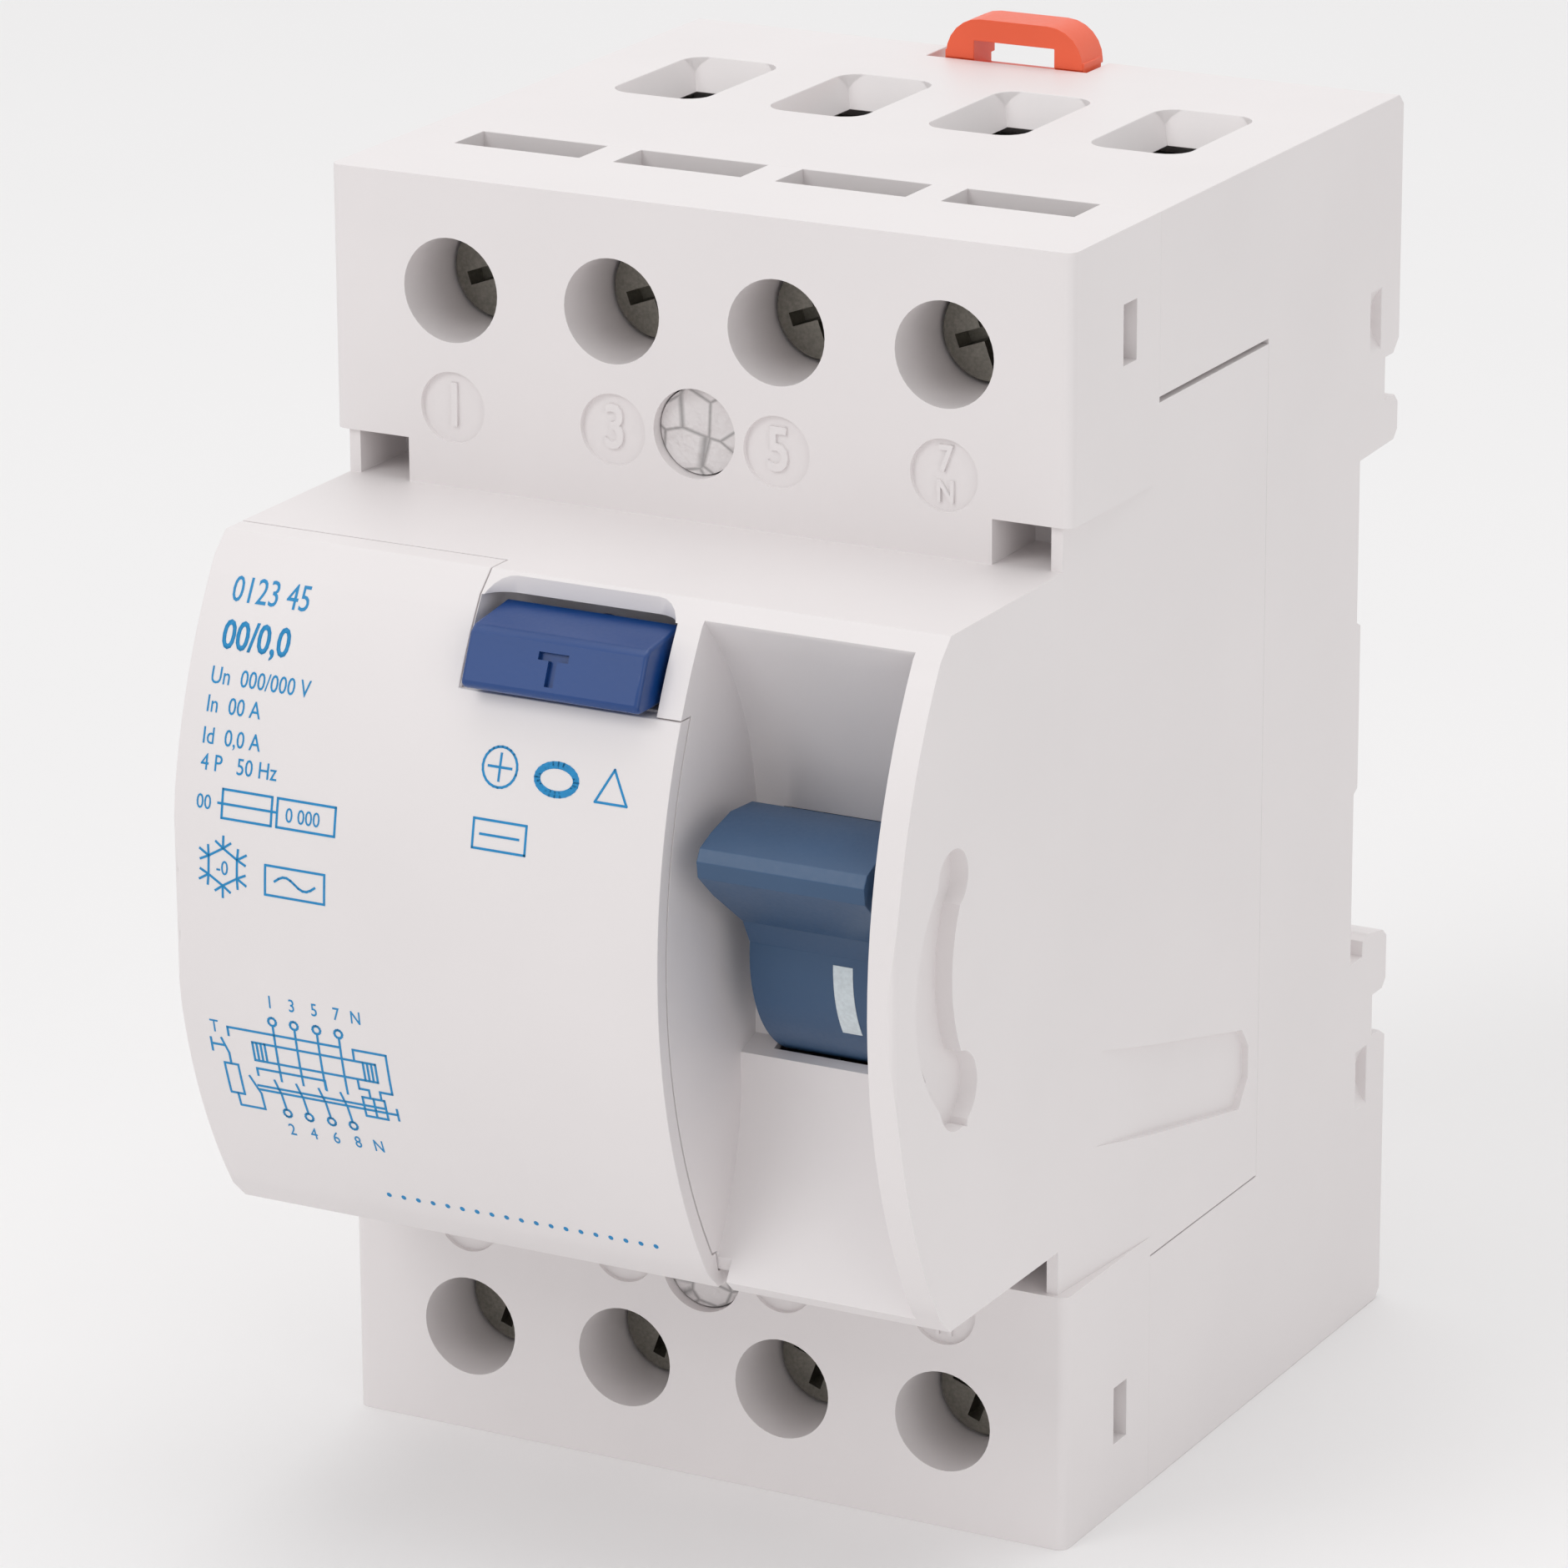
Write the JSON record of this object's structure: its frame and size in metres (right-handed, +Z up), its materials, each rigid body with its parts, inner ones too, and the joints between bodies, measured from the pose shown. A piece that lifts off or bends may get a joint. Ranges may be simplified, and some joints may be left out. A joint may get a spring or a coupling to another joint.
{
  "type": "residual current device",
  "caption": "Four-pole residual current switch for a 35 mm rail, with a toggle lever in a side bay, a test button, caged screw terminals at both ends and a sprung rail clip.",
  "frame": {"origin": "centre of the footprint on the plane of the lower end face, midway between the nose's front and the feet's back", "axes": "+Z up along the height, +Y to the back (rail side), +X to the right seen from the front; the nose faces -Y"},
  "size_m": [0.0524, 0.0714, 0.0878],
  "materials": {
    "housing_plastic": "moulded, fine satin texture, warm white",
    "button_plastic": "moulded, semi-gloss, deep blue",
    "toggle_plastic": "moulded, satin, grey-blue",
    "clip_plastic": "moulded, satin, orange-red",
    "inner_plastic": "moulded thermoset, dark grey",
    "lever_plastic": "moulded, natural",
    "steel": "zinc plated",
    "screw_steel": "zinc plated, dull",
    "cage_steel": "zinc plated, pressed",
    "copper": "bare copper",
    "spring_bronze": "spring bronze",
    "core_alloy": "nickel-iron strip core, coated",
    "resistor_body": "lacquered ceramic"
  },
  "bodies": {
    "housing": {"front_cover": "housing_plastic", "rear_base": "housing_plastic", "label_plate": "housing_plastic", "screw_seal": "housing_plastic", "test_contact": "spring_bronze", "test_resistor": "resistor_body", "toggle_axle": "steel", "toggle_spring": "steel", "trip_lever_pin": "steel", "assembly_screws": "steel", "transformer_holder": "inner_plastic", "trip_relay": "inner_plastic", "transformer_core": "core_alloy", "transformer_winding": "copper", "line_strip_1": "copper", "load_strip_1": "copper", "line_strip_2": "copper", "load_strip_2": "copper", "line_strip_3": "copper", "load_strip_3": "copper", "line_strip_4": "copper", "load_strip_4": "copper"},
    "toggle_lever": {"toggle": "toggle_plastic", "crank_pin": "steel"},
    "link": {"drive_link": "steel"},
    "carrier": {"contact_carrier": "inner_plastic", "contact_springs": "steel", "contact_bridge_1": "copper", "contact_bridge_2": "copper", "contact_bridge_3": "copper", "contact_bridge_4": "copper"},
    "button": {"test_button": "button_plastic"},
    "blade": {"test_blade": "spring_bronze"},
    "plunger": {"relay_plunger": "steel"},
    "lever": {"trip_lever": "lever_plastic"},
    "clip": {"rail_clip": "clip_plastic"},
    "screw_1": {"terminal_screw_1": "screw_steel"},
    "cage_1": {"terminal_cage_1": "cage_steel"},
    "screw_2": {"terminal_screw_2": "screw_steel"},
    "cage_2": {"terminal_cage_2": "cage_steel"},
    "screw_3": {"terminal_screw_3": "screw_steel"},
    "cage_3": {"terminal_cage_3": "cage_steel"},
    "screw_4": {"terminal_screw_4": "screw_steel"},
    "cage_4": {"terminal_cage_4": "cage_steel"},
    "screw_5": {"terminal_screw_5": "screw_steel"},
    "cage_5": {"terminal_cage_5": "cage_steel"},
    "screw_6": {"terminal_screw_6": "screw_steel"},
    "cage_6": {"terminal_cage_6": "cage_steel"},
    "screw_7": {"terminal_screw_7": "screw_steel"},
    "cage_7": {"terminal_cage_7": "cage_steel"},
    "screw_8": {"terminal_screw_8": "screw_steel"},
    "cage_8": {"terminal_cage_8": "cage_steel"}
  },
  "joints": [
    {"name": "toggle_turn", "type": "hinge", "parent": "housing", "child": "toggle_lever", "pos_m": [0.0172, -0.0197, 0.0424], "axis": [1, 0, 0], "range_deg": [0, 53]},
    {"name": "link_turn", "type": "hinge", "parent": "toggle_lever", "child": "link", "pos_m": [0.0172, -0.0177, 0.04641], "axis": [1, 0, 0], "range_deg": [-53, 0]},
    {"name": "carrier_slide", "type": "slide", "parent": "housing", "child": "carrier", "axis": [0, -1, 0], "range_m": [0, 0.004]},
    {"name": "button_push", "type": "slide", "parent": "housing", "child": "button", "axis": [0, 1, 0], "range_m": [0, 0.0016], "stiffness_N_per_m": 120, "springref_m": -0.004},
    {"name": "blade_flex", "type": "hinge", "parent": "housing", "child": "blade", "pos_m": [-0.011, -0.01715, 0.0607], "axis": [0, 0, 1], "range_deg": [0, 7.65]},
    {"name": "plunger_push", "type": "slide", "parent": "housing", "child": "plunger", "axis": [0, 0, 1], "range_m": [0, 0.0014], "stiffness_N_per_m": 20, "springref_m": -0.002},
    {"name": "lever_turn", "type": "hinge", "parent": "housing", "child": "lever", "pos_m": [-0.004, -0.0113, 0.0506], "axis": [1, 0, 0], "range_deg": [0, 13.2]},
    {"name": "clip_slide", "type": "slide", "parent": "housing", "child": "clip", "axis": [0, 0, 1], "range_m": [0, 0.0025], "stiffness_N_per_m": 100, "springref_m": -0.003},
    {"name": "screw_1_turn", "type": "hinge", "parent": "housing", "child": "screw_1", "pos_m": [-0.01749, -0.0057, 0.0777], "axis": [0, 1, 0], "range_deg": [0, 3375.1]},
    {"name": "cage_1_slide", "type": "slide", "parent": "housing", "child": "cage_1", "axis": [0, -1, 0], "range_m": [0, 0.0075]},
    {"name": "screw_2_turn", "type": "hinge", "parent": "housing", "child": "screw_2", "pos_m": [-0.00583, -0.0057, 0.0777], "axis": [0, 1, 0], "range_deg": [0, 3375.1]},
    {"name": "cage_2_slide", "type": "slide", "parent": "housing", "child": "cage_2", "axis": [0, -1, 0], "range_m": [0, 0.0075]},
    {"name": "screw_3_turn", "type": "hinge", "parent": "housing", "child": "screw_3", "pos_m": [0.00583, -0.0057, 0.0777], "axis": [0, 1, 0], "range_deg": [0, 3375.1]},
    {"name": "cage_3_slide", "type": "slide", "parent": "housing", "child": "cage_3", "axis": [0, -1, 0], "range_m": [0, 0.0075]},
    {"name": "screw_4_turn", "type": "hinge", "parent": "housing", "child": "screw_4", "pos_m": [0.01749, -0.0057, 0.0777], "axis": [0, 1, 0], "range_deg": [0, 3375.1]},
    {"name": "cage_4_slide", "type": "slide", "parent": "housing", "child": "cage_4", "axis": [0, -1, 0], "range_m": [0, 0.0075]},
    {"name": "screw_5_turn", "type": "hinge", "parent": "housing", "child": "screw_5", "pos_m": [-0.01749, -0.0057, 0.0073], "axis": [0, 1, 0], "range_deg": [0, 3375.1]},
    {"name": "cage_5_slide", "type": "slide", "parent": "housing", "child": "cage_5", "axis": [0, -1, 0], "range_m": [0, 0.0075]},
    {"name": "screw_6_turn", "type": "hinge", "parent": "housing", "child": "screw_6", "pos_m": [-0.00583, -0.0057, 0.0073], "axis": [0, 1, 0], "range_deg": [0, 3375.1]},
    {"name": "cage_6_slide", "type": "slide", "parent": "housing", "child": "cage_6", "axis": [0, -1, 0], "range_m": [0, 0.0075]},
    {"name": "screw_7_turn", "type": "hinge", "parent": "housing", "child": "screw_7", "pos_m": [0.00583, -0.0057, 0.0073], "axis": [0, 1, 0], "range_deg": [0, 3375.1]},
    {"name": "cage_7_slide", "type": "slide", "parent": "housing", "child": "cage_7", "axis": [0, -1, 0], "range_m": [0, 0.0075]},
    {"name": "screw_8_turn", "type": "hinge", "parent": "housing", "child": "screw_8", "pos_m": [0.01749, -0.0057, 0.0073], "axis": [0, 1, 0], "range_deg": [0, 3375.1]},
    {"name": "cage_8_slide", "type": "slide", "parent": "housing", "child": "cage_8", "axis": [0, -1, 0], "range_m": [0, 0.0075]}
  ],
  "couplings": [
    {"joint": "carrier_slide", "follows": "toggle_turn", "m_per_rad": 0.004324},
    {"joint": "link_turn", "follows": "toggle_turn", "ratio": -1},
    {"joint": "blade_flex", "follows": "button_push", "rad_per_m": 83.3},
    {"joint": "lever_turn", "follows": "plunger_push", "rad_per_m": 163.93},
    {"joint": "screw_1_turn", "follows": "cage_1_slide", "rad_per_m": 7854},
    {"joint": "screw_2_turn", "follows": "cage_2_slide", "rad_per_m": 7854},
    {"joint": "screw_3_turn", "follows": "cage_3_slide", "rad_per_m": 7854},
    {"joint": "screw_4_turn", "follows": "cage_4_slide", "rad_per_m": 7854},
    {"joint": "screw_5_turn", "follows": "cage_5_slide", "rad_per_m": 7854},
    {"joint": "screw_6_turn", "follows": "cage_6_slide", "rad_per_m": 7854},
    {"joint": "screw_7_turn", "follows": "cage_7_slide", "rad_per_m": 7854},
    {"joint": "screw_8_turn", "follows": "cage_8_slide", "rad_per_m": 7854}
  ]
}
